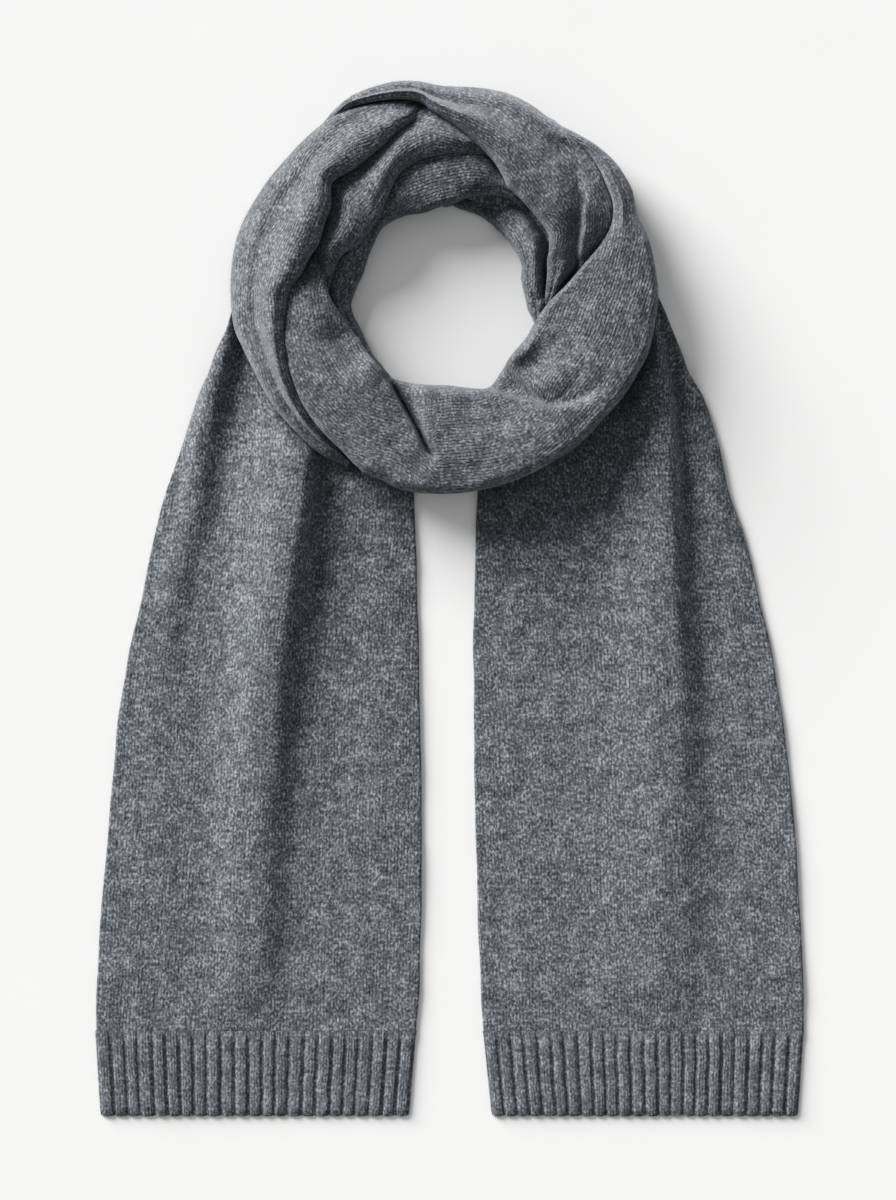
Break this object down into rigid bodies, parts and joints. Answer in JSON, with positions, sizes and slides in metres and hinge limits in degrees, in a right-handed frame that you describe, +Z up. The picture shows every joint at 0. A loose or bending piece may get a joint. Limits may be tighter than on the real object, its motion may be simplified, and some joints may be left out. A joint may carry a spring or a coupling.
{
  "type": "knit scarf",
  "caption": "Long knitted wool scarf with ribbed ends, laid flat and wound round into a neck loop with both ends hanging straight down.",
  "frame": {"origin": "middle of the whole outline, on the surface that it lies on", "axes": "+Z up from the surface, +Y from the hems towards the top of the loop, +X to the right as seen from above"},
  "size_m": [0.4963, 0.7235, 0.0472],
  "materials": {
    "knit": "heathered mid-grey lambswool jersey, felted, matt",
    "rib": "the same yarn in a raised rib"
  },
  "bodies": {
    "root": {"tail_left": "knit", "tail_right": "knit", "rib_left": "rib", "rib_right": "rib", "loop_core": "knit", "loop_front": "knit", "loop_left": "knit", "loop_over": "knit", "loop_upper": "knit", "loop_inner": "knit", "loop_right": "knit"}
  },
  "joints": []
}
